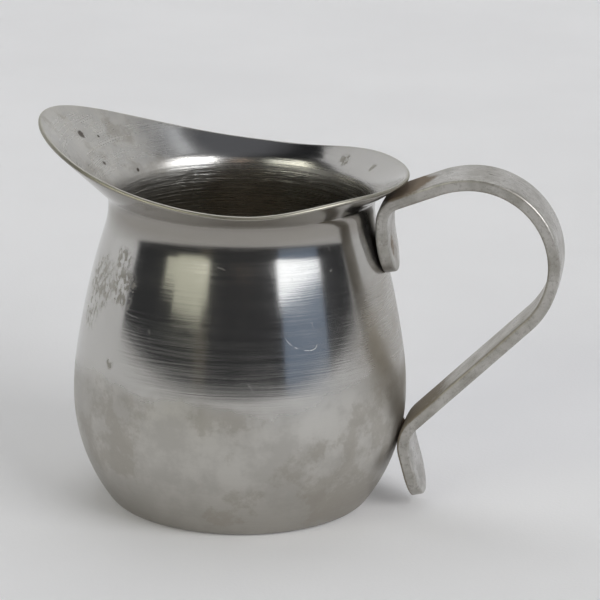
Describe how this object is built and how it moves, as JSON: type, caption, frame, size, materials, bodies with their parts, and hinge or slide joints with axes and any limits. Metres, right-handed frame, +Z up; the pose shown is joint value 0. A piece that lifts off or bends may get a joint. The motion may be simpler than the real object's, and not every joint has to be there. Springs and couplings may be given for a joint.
{
  "type": "cream jug",
  "caption": "Small bell-shaped metal cream jug with a flared pouring lip and a bent flat-strap handle spot-welded to the shoulder and belly.",
  "frame": {"origin": "centre of the base, on the surface that the jug stands on", "axes": "+Z up along the axis of the round body, +X towards the handle, -X towards the pouring lip"},
  "size_m": [0.0975, 0.062, 0.072],
  "materials": {
    "drawn_steel": "polished and finely brushed around, with water stains and handling scratches",
    "strap_steel": "satin, tumbled, with fine scratches and darker specks",
    "weld_metal": "heat-tinted, dull"
  },
  "bodies": {
    "root": {"body_shell": "drawn_steel", "handle_strap": "strap_steel", "upper_weld": "weld_metal", "lower_weld": "weld_metal"}
  },
  "joints": []
}
